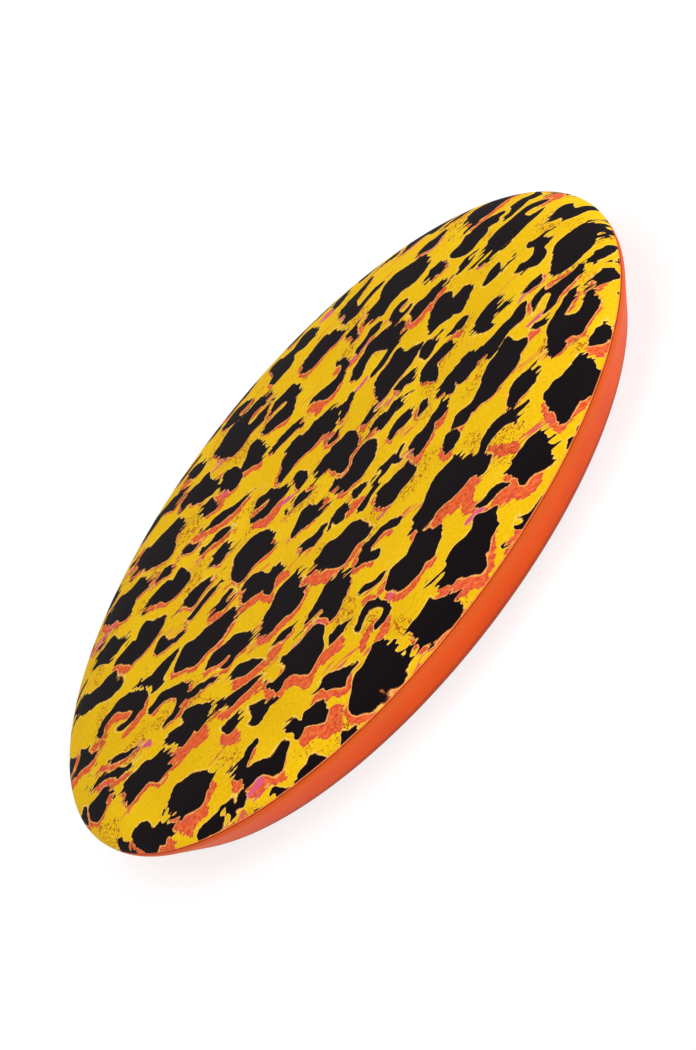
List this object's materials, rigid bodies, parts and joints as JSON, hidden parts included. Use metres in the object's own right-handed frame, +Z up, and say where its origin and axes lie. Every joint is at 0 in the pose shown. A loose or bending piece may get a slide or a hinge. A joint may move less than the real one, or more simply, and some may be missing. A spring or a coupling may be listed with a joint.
{
  "type": "soft flying disc",
  "caption": "Round soft flying disc for throwing and catching: leopard-print stretch cover over a domed foam pad, rounded orange moulded rim, hollow underside.",
  "frame": {"origin": "centre of the flat foot under the rim, on the surface the disc rests on", "axes": "+Z up along the disc's axis, through the crown of the dome; X and Y lie in the plane of the foot"},
  "size_m": [0.24, 0.24, 0.0316],
  "materials": {
    "printed_knit": "fine matt stretch knit printed in yellow, black, coral and pink",
    "sponge": "matt closed-cell sponge sheet",
    "pad_foam": "matt closed-cell foam",
    "rim_foam": "satin self-skinned moulded foam",
    "hoop_plastic": "plain natural plastic rod"
  },
  "bodies": {
    "root": {"printed_cover": "printed_knit", "cover_sponge": "sponge", "foam_pad": "pad_foam", "moulded_base": "rim_foam", "rim_hoop": "hoop_plastic"}
  },
  "joints": []
}
